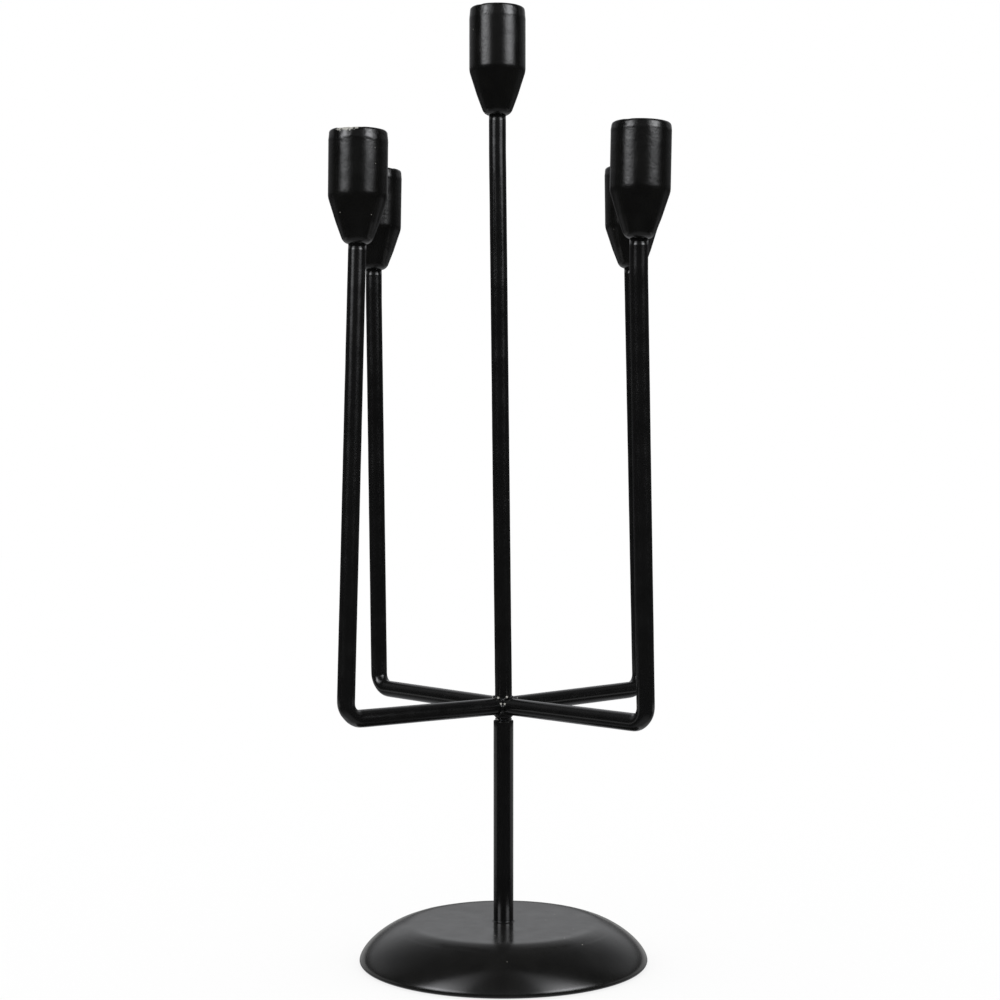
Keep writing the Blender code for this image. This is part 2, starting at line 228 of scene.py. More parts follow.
def powderCoat(name, deep, light, peel=1.0, swell=1.0, roughness=0.0, dustTone=0.7):
    # polyester powder coat, sprayed and baked: a satin black skin with a fine orange peel,
    # thicker in places, with specks of dust in it, pale chips where it has been knocked and pale painted
    # highlight spots on the weld lumps
    surface = bpy.data.materials.new(name)
    surface.use_nodes = True
    tree = surface.node_tree
    shader = tree.nodes["Principled BSDF"]
    place = addNode(tree, "ShaderNodeTexCoord").outputs["Object"]
    cloud = addNode(tree, "ShaderNodeTexNoise", {
        "Vector": place, "Scale": 1 / coat["cloud"], "Detail": 3.0,
    })
    tint = addNode(tree, "ShaderNodeMix", {
        "Factor": cloud.outputs["Fac"], "A": linear(deep), "B": linear(light),
    }, data_type="RGBA")
    grains = addNode(tree, "ShaderNodeTexVoronoi", {"Vector": place, "Scale": 1 / coat["dustCell"]})
    dust = addNode(tree, "ShaderNodeMapRange", {
        "Value": grains.outputs["Distance"],
        "From Min": coat["dustSize"], "From Max": coat["dustSize"] * 0.6,
        "To Min": 0.0, "To Max": dustTone,
    })
    dusty = addNode(tree, "ShaderNodeMix", {
        "Factor": dust.outputs["Result"], "A": tint.outputs[2], "B": linear(coat["dust"]),
    }, data_type="RGBA")
    # the wear attribute holds real knocks on the cups and the washer, and painted highlight spots on the weld
    # lumps
    wear = addNode(tree, "ShaderNodeAttribute", attribute_name="wear")
    ragged = addNode(tree, "ShaderNodeTexNoise", {
        "Vector": place, "Scale": 1 / coat["ragged"], "Detail": 4.0,
    })
    chipsAndGlints = addNode(tree, "ShaderNodeMath", {
        0: wear.outputs["Fac"], 1: ragged.outputs["Fac"],
    }, operation="ADD")
    bareAndGlint = addNode(tree, "ShaderNodeMapRange", {
        "Value": chipsAndGlints.outputs[0], "From Min": coat["chipAndGlintRange"][0], "From Max": coat["chipAndGlintRange"][1],
        "To Min": 0.0, "To Max": 1.0,
    })
    # knocked: pale bare steel where the paint is chipped, and painted highlight where the weld lumps catch
    # the light
    knocked = addNode(tree, "ShaderNodeMix", {
        "Factor": bareAndGlint.outputs["Result"], "A": dusty.outputs[2], "B": linear(coat["bareAndGlint"]),
    }, data_type="RGBA")
    tree.links.new(knocked.outputs[2], shader.inputs["Base Color"])
    typical = coat["roughness"] + roughness
    gloss = addNode(tree, "ShaderNodeMapRange", {
        "Value": cloud.outputs["Fac"], "From Min": 0.3, "From Max": 0.7,
        "To Min": typical + coat["glossDrift"][0], "To Max": typical + coat["glossDrift"][1],
    })
    worn = addNode(tree, "ShaderNodeMath", {
        0: bareAndGlint.outputs["Result"], 1: 0.4, 2: gloss.outputs["Result"],      # bare steel is duller
    }, operation="MULTIPLY_ADD")
    tree.links.new(worn.outputs[0], shader.inputs["Roughness"])
    fine = addNode(tree, "ShaderNodeTexNoise", {
        "Vector": place, "Scale": 1 / coat["peel"], "Detail": 2.0,
    })
    slow = addNode(tree, "ShaderNodeTexNoise", {
        "Vector": place, "Scale": 1 / coat["swell"], "Detail": 1.0,
    })
    # the peel is stronger in some patches than in others
    patchy = addNode(tree, "ShaderNodeMapRange", {
        "Value": cloud.outputs["Fac"], "From Min": 0.4, "From Max": 0.62, "To Min": 0.45, "To Max": 1.0,
    })
    under = addNode(tree, "ShaderNodeBump", {
        "Strength": 1.0, "Distance": coat["swellDepth"] * swell, "Height": slow.outputs["Fac"],
    })
    top = addNode(tree, "ShaderNodeBump", {
        "Strength": patchy.outputs["Result"], "Distance": coat["peelDepth"] * peel,
        "Height": fine.outputs["Fac"], "Normal": under.outputs["Normal"],
    })
    tree.links.new(top.outputs["Normal"], shader.inputs["Normal"])
    shader.inputs["Metallic"].default_value = 0.0
    shader.inputs["IOR"].default_value = 1.5
    return surface


plating = {
    "dull": "#8f949a", "bright": "#c3c6c8", "spots": 1.6 * mm, "roughness": (0.24, 0.42),
    "marks": 0.3 * mm, "marksDepth": 0.01 * mm,
}


def zincPlate():
    # bright zinc on steel screws: a pale bluish metal with fine tool marks and dull spots
    surface = bpy.data.materials.new("zincPlatedSteel")
    surface.use_nodes = True
    tree = surface.node_tree
    shader = tree.nodes["Principled BSDF"]
    place = addNode(tree, "ShaderNodeTexCoord").outputs["Object"]
    spots = addNode(tree, "ShaderNodeTexNoise", {
        "Vector": place, "Scale": 1 / plating["spots"], "Detail": 4.0,
    })
    tint = addNode(tree, "ShaderNodeMix", {
        "Factor": spots.outputs["Fac"], "A": linear(plating["dull"]), "B": linear(plating["bright"]),
    }, data_type="RGBA")
    tree.links.new(tint.outputs[2], shader.inputs["Base Color"])
    gloss = addNode(tree, "ShaderNodeMapRange", {
        "Value": spots.outputs["Fac"], "From Min": 0.3, "From Max": 0.7,
        "To Min": plating["roughness"][0], "To Max": plating["roughness"][1],
    })
    tree.links.new(gloss.outputs["Result"], shader.inputs["Roughness"])
    marks = addNode(tree, "ShaderNodeTexNoise", {
        "Vector": place, "Scale": 1 / plating["marks"], "Detail": 1.0,
    })
    bump = addNode(tree, "ShaderNodeBump", {
        "Strength": 0.6, "Distance": plating["marksDepth"], "Height": marks.outputs["Fac"],
    })
    tree.links.new(bump.outputs["Normal"], shader.inputs["Normal"])
    shader.inputs["Metallic"].default_value = 1.0
    return surface


wool = {
    "dark": "#0e0e0f", "pale": "#2c2b2c",
    # wool fibres are 0.03 mm thick, so they are drawn as tufts, coarse enough to show
    "tuft": 0.6 * mm, "nap": 0.15 * mm,
}


def pressedFelt():
    # black wool felt, pressed: matt, with short fibres lying every way and a soft sheen at a low angle
    surface = bpy.data.materials.new("pressedFelt")
    surface.use_nodes = True
    tree = surface.node_tree
    shader = tree.nodes["Principled BSDF"]
    place = addNode(tree, "ShaderNodeTexCoord").outputs["Object"]
    fibres = addNode(tree, "ShaderNodeTexNoise", {
        "Vector": place, "Scale": 1 / wool["tuft"], "Detail": 6.0, "Roughness": 0.7, "Distortion": 1.5,
    })
    tint = addNode(tree, "ShaderNodeMix", {
        "Factor": fibres.outputs["Fac"], "A": linear(wool["dark"]), "B": linear(wool["pale"]),
    }, data_type="RGBA")
    tree.links.new(tint.outputs[2], shader.inputs["Base Color"])
    bump = addNode(tree, "ShaderNodeBump", {
        "Strength": 1.0, "Distance": wool["nap"], "Height": fibres.outputs["Fac"],
    })
    tree.links.new(bump.outputs["Normal"], shader.inputs["Normal"])
    shader.inputs["Roughness"].default_value = 0.95
    shader.inputs["Sheen Weight"].default_value = 0.3
    return surface


coatedBars = powderCoat("powderCoatedSteelBar", "#090909", "#0f0f0f", peel=0.8, roughness=-0.04, dustTone=0.0)
coatedCups = powderCoat("powderCoatedTurnedSteel", "#070707", "#0c0c0b", peel=2.8, swell=1.8, dustTone=0.35)
coatedIron = powderCoat("powderCoatedCastIron", "#101010", "#181817", peel=0.9, swell=0.6, roughness=-0.02)
zinc = zincPlate()
felt = pressedFelt()
print("materials made")


cameraSet = {
    "turn": 3.466,               # degrees round the object, from straight in front
    "distance": 938.8 * mm, "aside": -1.62 * mm, "height": 236.4 * mm,
    "down": 1.2535,              # degrees below level
    "lens": 72.67, "sensor": 36.0,
}


def placeCamera():
    data = bpy.data.cameras.new("camera")
    data.lens = cameraSet["lens"]
    data.sensor_width = cameraSet["sensor"]
    camera = bpy.data.objects.new("camera", data)
    swing = Matrix.Rotation(math.radians(cameraSet["turn"]), 4, "Z")
    place = Matrix.Translation((cameraSet["aside"], -cameraSet["distance"], cameraSet["height"]))
    tilt = Matrix.Rotation(math.radians(90 - cameraSet["down"]), 4, "X")
    camera.matrix_world = swing @ place @ tilt
    bpy.context.scene.collection.objects.link(camera)
    bpy.context.scene.camera = camera


studio = {
    # every profile is a list of (degrees, strength) that the light runs through
    # soft boxes left and right of the lens: round from it, then up from level
    "boxesRound": [(-72, 0), (-61, 1.1), (-52, 1.35), (-44, 1.0), (-36, 0.65), (-29, 0.12), (-20, 0.03),
                   (18, 0.03), (28, 0.15), (38, 0.95), (50, 1.4), (61, 1.1), (70, 0.3), (80, 0)],
    "boxesHigh": [(6.7, 0), (7.8, 0.75), (9, 1.7), (12, 3.4), (15, 6.0), (20, 7.6), (24, 4.4), (29, 3.1),
                  (36, 2.7), (44, 2.1), (52, 1.4), (60, 0.9), (70, 0.45), (82, 0.15), (89, 0)],
    # the wall and ceiling behind, dark near the floor and brighter with height
    "wallRound": [(100, 0), (120, 0.4), (140, 0.5), (160, 0.85), (176, 1)],
    "wallHigh": [(-30, 0.5), (-13, 0.42), (-9.5, 0.2), (-7, 0.06), (0, 0.04), (5, 0.07), (8, 0.16),
                 (11, 0.33), (14, 0.62), (20, 0.68), (27, 0.66), (35, 0.45), (41, 0.32), (46, 0.22),
                 (53, 0.12), (61, 0.05), (72, 0)],
    # white paper on the table, mirrored in undersides
    "paperHigh": [(-90, 0.27), (-58, 0.25), (-34, 0)],
    "strongest": 8.0,            # above every strength here, as a ramp only holds 0 to 1
    "dim": 0.02,                 # what the paint mirrors where nothing else is
    "boxTint": "#fbfcff",        # daylight, a little blue
    "fill": 1.25,                # the even light that falls on everything
    # the paper floor: its own glow, the tone that it takes light with, and its size
    "floorGlow": 0.80, "floorTone": 0.16, "floorGrain": 3 * mm, "floorRadius": 4.0, "floorBelow": 0.02 * mm,
    # a white card curved round behind, low down, which the rim of the base picks up
    "cardDistance": 0.62, "cardLow": -0.09, "cardHigh": 0.040, "cardGlow": 0.42,
    "cardFrom": -8, "cardSweep": 196, "cardSteps": 48,
}


def lightStudio():
    # the paint mirrors two soft boxes in front, a wall behind and the paper below
    world = bpy.data.worlds.new("studio")
    bpy.context.scene.world = world
    world.use_nodes = True
    tree = world.node_tree
    tree.nodes.clear()
    way = addNode(tree, "ShaderNodeTexCoord").outputs["Generated"]
    turned = addNode(tree, "ShaderNodeVectorRotate", {
        "Vector": way, "Angle": math.radians(-cameraSet["turn"]),
    }, rotation_type="Z_AXIS")
    parts = addNode(tree, "ShaderNodeSeparateXYZ", {0: turned.outputs[0]})
    rise = addNode(tree, "ShaderNodeMath", {0: parts.outputs["Z"]}, operation="ARCSINE").outputs[0]
    toLens = addNode(tree, "ShaderNodeMath", {
        0: parts.outputs["Y"], 1: -1.0,
    }, operation="MULTIPLY").outputs[0]
    swing = addNode(tree, "ShaderNodeMath", {
        0: parts.outputs["X"], 1: toLens,
    }, operation="ARCTAN2").outputs[0]
    off = addNode(tree, "ShaderNodeMath", {0: swing}, operation="ABSOLUTE").outputs[0]
    angles = {"boxesRound": swing, "boxesHigh": rise, "wallRound": off, "wallHigh": rise, "paperHigh": rise}
    levels = {}
    for profile, angle in angles.items():
        share = addNode(tree, "ShaderNodeMapRange", {
            "Value": angle, "From Min": -math.pi, "From Max": math.pi,
        })
        ramp = addNode(tree, "ShaderNodeValToRGB", {"Fac": share.outputs["Result"]})
        stops = ramp.color_ramp.elements
        for degrees, _ in studio[profile][1:-1]:
            stops.new((degrees + 180) / 360)
        for stop, (degrees, level) in zip(stops, studio[profile]):
            stop.position = (degrees + 180) / 360
            tone = level / studio["strongest"]
            stop.color = (tone, tone, tone, 1.0)
        levels[profile] = ramp.outputs["Color"]
    boxes = addNode(tree, "ShaderNodeMath", {
        0: levels["boxesRound"], 1: levels["boxesHigh"],
    }, operation="MULTIPLY")
    wall = addNode(tree, "ShaderNodeMath", {
        0: levels["wallRound"], 1: levels["wallHigh"],
    }, operation="MULTIPLY")
    both = addNode(tree, "ShaderNodeMath", {0: boxes.outputs[0], 1: wall.outputs[0]}, operation="ADD")
    scaled = addNode(tree, "ShaderNodeMath", {
        0: both.outputs[0], 1: studio["strongest"] ** 2, 2: studio["dim"],
    }, operation="MULTIPLY_ADD")
    mirrored = addNode(tree, "ShaderNodeMath", {
        0: levels["paperHigh"], 1: studio["strongest"], 2: scaled.outputs[0],
    }, operation="MULTIPLY_ADD")
    rays = addNode(tree, "ShaderNodeLightPath")
    even = addNode(tree, "ShaderNodeMix", {
        "Factor": rays.outputs["Is Camera Ray"], "A": studio["fill"], "B": 1.0,
    }, data_type="FLOAT")
    tinted = addNode(tree, "ShaderNodeVectorMath", {
        0: linear(studio["boxTint"])[:3], "Scale": mirrored.outputs[0],
    }, operation="SCALE")
    light = addNode(tree, "ShaderNodeMix", {
        "Factor": rays.outputs["Is Glossy Ray"], "A": even.outputs[0], "B": tinted.outputs[0],
    }, data_type="RGBA")
    sky = addNode(tree, "ShaderNodeBackground", {"Color": light.outputs[2]})
    addNode(tree, "ShaderNodeOutputWorld", {"Surface": sky.outputs[0]})
    bpy.context.scene.view_settings.view_transform = "Standard"


def layFloor():
    # matt white paper that glows a little as well as taking light from above, so that hardly a shadow falls
    # on it
    surface = bpy.data.materials.new("paperFloor")
    surface.use_nodes = True
    tree = surface.node_tree
    shader = tree.nodes["Principled BSDF"]
    place = addNode(tree, "ShaderNodeTexCoord").outputs["Object"]
    grain = addNode(tree, "ShaderNodeTexNoise", {
        "Vector": place, "Scale": 1 / studio["floorGrain"], "Detail": 3.0,
    })
    tone = addNode(tree, "ShaderNodeMapRange", {
        "Value": grain.outputs["Fac"],
        "To Min": studio["floorTone"] * 0.97, "To Max": studio["floorTone"] * 1.03,
    })
    tree.links.new(tone.outputs["Result"], shader.inputs["Base Color"])
    shader.inputs["Roughness"].default_value = 1.0
    shader.inputs["Specular IOR Level"].default_value = 0.0
    shader.inputs["Emission Color"].default_value = (1.0, 1.0, 1.0, 1.0)
    shader.inputs["Emission Strength"].default_value = studio["floorGlow"]
    mesh = bpy.data.meshes.new("floor")
    shape = bmesh.new()
    bmesh.ops.create_circle(shape, cap_ends=True, segments=96, radius=studio["floorRadius"])
    shape.to_mesh(mesh)
    shape.free()
    mesh.materials.append(surface)
    floor = bpy.data.objects.new("floor", mesh)
    floor.location.z = cadBounds[0][2] - studio["floorBelow"]
    floor.visible_glossy = False
    bpy.context.scene.collection.objects.link(floor)


def standCard():
    # a strip of glowing card that only the paint mirrors
    surface = bpy.data.materials.new("whiteCard")
    surface.use_nodes = True
    surface.node_tree.nodes.clear()
    glow = addNode(surface.node_tree, "ShaderNodeEmission", {"Strength": studio["cardGlow"]})
    addNode(surface.node_tree, "ShaderNodeOutputMaterial", {"Surface": glow.outputs[0]})
    steps = studio["cardSteps"]
    verts = []
    for step in range(steps + 1):
        angle = math.radians(studio["cardFrom"] + studio["cardSweep"] * step / steps + cameraSet["turn"])
        side = Vector((math.cos(angle), math.sin(angle), 0)) * studio["cardDistance"]
        verts += [side + up * studio["cardLow"], side + up * studio["cardHigh"]]
    mesh = bpy.data.meshes.new("card")
    mesh.from_pydata(verts, [], [(2 * i, 2 * i + 2, 2 * i + 3, 2 * i + 1) for i in range(steps)])
    mesh.materials.append(surface)
    card = bpy.data.objects.new("card", mesh)
    card.visible_camera = False
    card.visible_diffuse = False
    card.visible_shadow = False
    bpy.context.scene.collection.objects.link(card)


placeCamera()
lightStudio()
layFloor()
standCard()
print("camera and studio placed")


casting = {
    "around": 180, "flat": 42.5 * mm, "edgeExponent": 1.5, "widest": 2.0 * mm, "footIn": 1.95 * mm,
    "ease": 2.4 * mm, "easeEnds": 9 * mm,        # how softly the flat top runs into the edge, and how far out
    "hole": 3.3 * mm, "pocket": 9 * mm, "recessBreak": 0.4 * mm,
    "flatSteps": 14, "easeSteps": 6, "edgeSteps": 60, "footSteps": 10,
    # how far out of true it is, over what distance, and the heights and radii where that begins
    "sway": 0.10 * mm, "swaySize": 26 * mm, "swayAbove": 2 * mm, "sagAbove": 17 * mm,
    "swayFrom": 7 * mm, "swayRamp": 10 * mm,
}


def makeCasting():
    low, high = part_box("base_casting")
    radius = (high.x - low.x) / 2
    top, foot = high.z, low.z
    hole, flat, ease = casting["hole"], casting["flat"], casting["ease"]
    outline = [Vector((hole + (flat - ease - hole) * step / casting["flatSteps"], top))
               for step in range(casting["flatSteps"])]
    drop = top - casting["widest"]
    width = radius - flat
    power = casting["edgeExponent"]

    def edgeHeight(r):
        share = min(1.0, max(0.0, (r - flat) / width))
        return casting["widest"] + drop * (1 - share ** power) ** (1 / power)

    spread = range(-4, 5)
    for step in range(-casting["easeSteps"], casting["edgeSteps"] + 1):
        angle = math.pi / 2 * max(0, step) / casting["edgeSteps"]
        inward = min(0, step) * ease / (casting["easeSteps"] + 1)
        r = flat + width * math.sin(angle) ** (2 / power) + inward
        reach = ease * max(0.0, 1 - max(0.0, r - flat) / casting["easeEnds"])
        outline.append(Vector((r, sum(edgeHeight(r + reach * k / 4) for k in spread) / len(spread))))
    for step in range(1, casting["footSteps"] + 1):
        angle = math.pi / 2 * step / casting["footSteps"]
        r = radius - casting["footIn"] * (1 - math.cos(angle))
        z = casting["widest"] - (casting["widest"] - foot) * math.sin(angle)
        outline.append(Vector((r, z)))
    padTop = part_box("base_pad")[1]
    recess, roof = padTop.x + gap, padTop.z + gap
    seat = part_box("base_washer")[1].z + gap
    outline += [Vector(p) for p in (
        (recess + casting["recessBreak"], foot), (recess, foot + casting["recessBreak"]), (recess, roof),
        (casting["pocket"], roof), (casting["pocket"], seat), (hole, seat),
    )]

    def shift(r, angle, z):
        # a casting is never quite flat or round
        spot = Vector((r * math.cos(angle), r * math.sin(angle), z)) / casting["swaySize"]
        sway = casting["sway"] * noise.noise(spot) if z > casting["swayAbove"] else 0.0
        inside = min(1.0, max(0.0, (r - casting["swayFrom"]) / casting["swayRamp"]))
        return r - abs(sway) * inside, z - (abs(sway) * inside if z > casting["sagAbove"] else 0.0)

    mesh = turn("base_casting", outline, casting["around"], shift=shift)
    finishPiece("baseCasting", mesh, coatedIron, "base", "base_casting")


pad = {
    "around": 200, "rings": 20, "centre": 0.5 * mm, "edge": 0.35 * mm, "rim": 0.98,
    "fluff": 0.12 * mm, "tufts": 14,             # loose wool round the cut edge, and tufts in a radian
}


def makePad():
    low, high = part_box("base_pad")
    radius, rings, rim = high.x, pad["rings"], high.x * pad["rim"]
    inside = [pad["centre"]] + [radius * step / rings for step in range(1, rings)]
    outline = [Vector((r, high.z)) for r in inside]
    outline += roundCorners([
        (rim, high.z, 0, 0), (radius, high.z, pad["edge"], 4), (radius, low.z, pad["edge"], 4),
        (rim, low.z, 0, 0),
    ], closed=False)
    outline += [Vector((r, low.z)) for r in inside[::-1]]

    def shift(r, angle, z):
        loose = noise.noise(Vector((angle * pad["tufts"], z / mm * 2, 3.0))) * pad["fluff"]
        return (r - abs(loose) if r > radius * 0.985 else r), z

    mesh = turn("base_pad", outline, pad["around"], closed=False, shift=shift)
    finishPiece("basePad", mesh, felt, "base", "base_pad")


screwThread = {"depth": 0.54, "fade": 0.5 * mm}  # depth as a share of the pitch, and the run-out at its ends


def thread(radius, pitch, low, high):
    # a right-hand thread as a shift for turned work
    def shift(r, angle, z):
        if r < radius * 0.98 or not low <= z <= high:
            return r, z
        phase = (z / pitch - angle / (2 * math.pi)) % 1.0
        valley = abs(phase - 0.5) * 2
        rounded = min(1.0, max(0.0, valley * 1.25 - 0.12))       # crests and roots a little flat
        ends = min(1.0, (high - z) / screwThread["fade"], (z - low) / screwThread["fade"])
        return r - screwThread["depth"] * pitch * rounded * max(0.0, ends), z
    return shift


def shankRings(radius, top, bottom, steps):
    # close rings down a shank, for the thread to show in
    return [Vector((radius, top - (top - bottom) * step / steps)) for step in range(steps + 1)]


stud = {"around": 40, "radius": 2.5 * mm, "pitch": 0.8 * mm, "tip": 0.5 * mm, "rings": 0.1 * mm}


def makeStud():
    low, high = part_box("joint_stud")
    radius, tip = stud["radius"], stud["tip"]
    outline = [Vector((nearAxis, high.z)), Vector((radius - tip, high.z))]
    steps = int((high.z - low.z - 2 * tip) / stud["rings"])
    outline += shankRings(radius, high.z - tip, low.z + tip, steps)
    outline += [Vector((radius - tip, low.z)), Vector((nearAxis, low.z))]
    cut = thread(radius, stud["pitch"], low.z, high.z)
    mesh = turn("joint_stud", outline, stud["around"], closed=False, shift=cut)
    finishPiece("jointStud", mesh, zinc, "upper_section", "joint_stud")


washer = {
    "around": 64, "outerBreak": 0.18 * mm, "innerBreak": 0.12 * mm,
    "rub": 1.76, "rubPatch": 2.4 * mm,           # how bright the painted ring rubs, and in what patches
}


def makeWasher(node, name, body, inner, surface):
    low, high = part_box(node)
    outer = (high.x - low.x) / 2
    mesh = turn(node, roundCorners([
        (outer, high.z, washer["outerBreak"], 4), (outer, low.z, washer["outerBreak"], 4),
        (inner, low.z, washer["innerBreak"], 2), (inner, high.z, washer["innerBreak"], 2),
    ]), washer["around"])

    def rubbed(point):
        patch = Vector((point.x, point.y, 2 * mm)) / washer["rubPatch"]
        return max(0.0, noise.noise(patch) * washer["rub"])

    if surface == coatedBars:
        markWearAndGlints(mesh, rubbed)
    finishPiece(name, mesh, surface, body, node)


baseScrew = {
    "around": 144, "shank": 3.0 * mm, "pitch": 1.0 * mm, "rings": 0.16 * mm, "plain": 4 * mm,
    "tip": 0.5 * mm, "tipIn": 0.6 * mm, "head": 5.0 * mm, "headBreak": 0.5 * mm, "faceBreak": 0.3 * mm,
    "knurls": 36, "knurlDepth": 0.12 * mm,
    # a hexagon socket, drilled a little deeper in the middle
    "socket": 2.35 * mm, "socketBreak": 0.15 * mm, "socketDeep": 2.2 * mm, "drillDeep": 2.6 * mm,
}


def makeBaseScrew():
    low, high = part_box("base_screw")
    head, shank, socket = baseScrew["head"], baseScrew["shank"], baseScrew["socket"]
    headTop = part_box("base_washer")[0].z - gap
    steps = int((high.z - headTop) / baseScrew["rings"])
    outline = [Vector((nearAxis, high.z)), Vector((shank - baseScrew["tipIn"], high.z))]
    outline += shankRings(shank, high.z - baseScrew["tip"], headTop, steps)
    outline += roundCorners([
        (shank, headTop, 0, 0), (head, headTop, baseScrew["faceBreak"], 3),
        (head, low.z, baseScrew["headBreak"], 4), (socket, low.z, baseScrew["socketBreak"], 2),
        (socket, low.z + baseScrew["socketDeep"], 0, 0), (nearAxis, low.z + baseScrew["drillDeep"], 0, 0),
    ], closed=False)[1:]
    cut = thread(shank, baseScrew["pitch"], headTop + baseScrew["plain"], high.z)

    def shift(r, angle, z):
        if abs(r - head) < 0.05 * mm and z < headTop - 0.5 * mm:
            wave = 0.5 + 0.5 * math.cos(angle * baseScrew["knurls"])
            return r - baseScrew["knurlDepth"] * wave, z
        if abs(r - socket) < 0.3 * mm and z < headTop:
            sixth = (angle % (math.pi / 3)) - math.pi / 6
            return r * math.cos(math.pi / 6) / math.cos(sixth) * 1.06, z
        return cut(r, angle, z)

    mesh = turn("base_screw", outline, baseScrew["around"], closed=False, shift=shift)
    finishPiece("baseScrew", mesh, zinc, "base", "base_screw")


cupScrew = {
    "around": 96, "centre": 0.08 * mm, "shank": 2.0 * mm, "pitch": 0.7 * mm, "rings": 0.12 * mm,
    "plain": 6 * mm, "tip": 0.4 * mm, "tipIn": 0.5 * mm,
    "head": 4.0 * mm, "headHigh": 2.8 * mm, "headSide": 1.2 * mm, "crown": 1.6 * mm, "headBreak": 0.25 * mm,
    # the cross recess, four narrow wings sunk into the crown
    "wing": 0.45 * mm, "wingSlope": 0.12 * mm, "wingReach": 2.3 * mm, "recess": 1.5 * mm,
}


def makeCupScrew(side):
    node = "screw_" + side
    low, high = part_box(node)
    top = high.z - low.z
    head, shank = cupScrew["head"], cupScrew["shank"]
    headFoot = top - cupScrew["headHigh"]
    crownFoot = headFoot + cupScrew["headSide"]
    quarter = [math.pi / 2 * step / 12 for step in range(1, 13)]
    outline = [Vector((cupScrew["centre"], top))]
    outline += [Vector((head * math.sin(a), crownFoot + cupScrew["crown"] * math.cos(a))) for a in quarter]
    outline += [Vector((head, headFoot + cupScrew["headBreak"])),
                Vector((head - cupScrew["headBreak"], headFoot))]
    outline += shankRings(shank, headFoot, cupScrew["tip"], int(headFoot / cupScrew["rings"]))
    outline += [Vector((shank - cupScrew["tipIn"], 0)), Vector((cupScrew["centre"], 0))]
    cut = thread(shank, cupScrew["pitch"], 0, headFoot - cupScrew["plain"])

    def shift(r, angle, z):
        if z > crownFoot - 0.1 * mm:
            across = min(abs(math.sin(angle)), abs(math.cos(angle))) * r
            inside = min(1.0, max(0.0, 1 - (across - cupScrew["wing"]) / cupScrew["wingSlope"]))
            reach = max(0.0, 1 - r / cupScrew["wingReach"])
            return r, z - cupScrew["recess"] * inside * min(1.0, reach * 2.2)
        return cut(r, angle, z)

    mesh = turn(node, outline, cupScrew["around"], closed=False, shift=shift, place=ownAxis(node))
    finishPiece("cupScrew_" + side, mesh, zinc, "upper_section", node)


stem = {
    "around": 72, "rings": 3 * mm, "shoulder": 0.6 * mm,
    "topHole": 2.8 * mm, "topDeep": 9.4 * mm, "mouthBreak": 0.25 * mm,
    "footHole": 3.3 * mm, "footDeep": 13.5 * mm,
    "fillet": 0.55 * mm, "sunk": 0.25 * mm,      # the paint that runs out from its foot onto the base
}


def makeStem():
    low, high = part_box("lower_stem")
    radius = (high.x - low.x) / 2
    fillet, ground = stem["fillet"], low.z - stem["sunk"]
    quarter = [math.pi / 2 * (8 - step) / 8 for step in range(9)]
    outline = roundCorners([
        (nearAxis, high.z - stem["topDeep"], 0, 0), (stem["topHole"], high.z - stem["topDeep"], 0, 0),
        (stem["topHole"], high.z, stem["mouthBreak"], 3), (radius, high.z, stem["shoulder"], 8),
        (radius, low.z + 2 * mm, 0, 0),
    ], closed=False)
    outline = outline[:-2] + splitLong(outline[-2:], stem["rings"], closed=False)
    outline += [Vector((radius + fillet * (1 - math.sin(a)), ground + fillet * (1 - math.cos(a))))
                for a in quarter]
    outline += [Vector((stem["footHole"], ground)), Vector((stem["footHole"], low.z + stem["footDeep"])),
                Vector((nearAxis, low.z + stem["footDeep"]))]
    mesh = turn("lower_stem", outline, stem["around"], closed=False)
    finishPiece("lowerStem", mesh, coatedBars, "base", "lower_stem")


bars = {
    "around": 48, "radius": 4.0 * mm, "longest": 3 * mm, "paint": 0.03 * mm, "ripple": 0.03 * mm,
    "rippleSize": 11 * mm, "footBreak": 0.35 * mm,
    "tip": 14 * mm, "intoCup": 0.3 * mm,         # the last stretch, which stands true to its cup
    "knee": 8 * mm,                              # where the rod starts to lean, above the hub
    "inner": 1.5 * mm,                           # how near the axis the arms start
    # degrees round from +X to each arm
    "headings": {"front_left": -135.6, "front_right": -45.4, "back_right": 45.4, "back_left": 135.6},
    "bend": 7.2 * mm, "bendSteps": 22, "slimWithin": 50,
    # how much thinner each is round the outside of its bend
    "slim": {"front_left": 1.1 * mm, "front_right": 0.5 * mm, "back_right": 0.7 * mm, "back_left": 0.8 * mm},
    # where the frame's bars are cut to find their centres: out from the axis, then up or down
    "near": 20 * mm, "far": 55 * mm, "aboveHub": 25 * mm, "belowTop": 20 * mm, "belowTip": 3 * mm,
}


def bendBetween(start, corner, end, radius, steps):
    # the centre of a round bend, the way out through its corner, and its points
    before = (start - corner).normalized()
    after = (end - corner).normalized()
    half = before.angle(after) / 2
    inward = (before + after).normalized()
    centre = corner + inward * radius / math.sin(half)
    first = corner + before * radius / math.tan(half) - centre
    axis = before.cross(after)
    sweep = math.pi - 2 * half
    points = [centre + Matrix.Rotation(-sweep * i / steps, 3, axis) @ first for i in range(steps + 1)]
    return centre, -inward, points


def densify(route, longest):
    fine = [route[0]]
    for a, b in zip(route, route[1:]):
        steps = max(1, math.ceil((b - a).length / longest))
        fine += [a.lerp(b, s / steps) for s in range(1, steps + 1)]
    return fine


def sweepBar(name, route, radiusAt):
    # rings square to the route, each turned on from the last with no twist
    route = densify(route, bars["longest"])
    rings = []
    side = None
    for i, place in enumerate(route):
        ahead = (route[min(i + 1, len(route) - 1)] - route[max(i - 1, 0)]).normalized()
        if side is None:
            side = ahead.orthogonal().normalized()
        side = (side - ahead * side.dot(ahead)).normalized()
        other = ahead.cross(side)
        ring = []
        for j in range(bars["around"]):
            angle = 2 * math.pi * j / bars["around"]
            out = side * math.cos(angle) + other * math.sin(angle)
            ring.append(place + out * radiusAt(place, out))
        rings.append(ring)
    return stackRings(name, rings, closed=False)


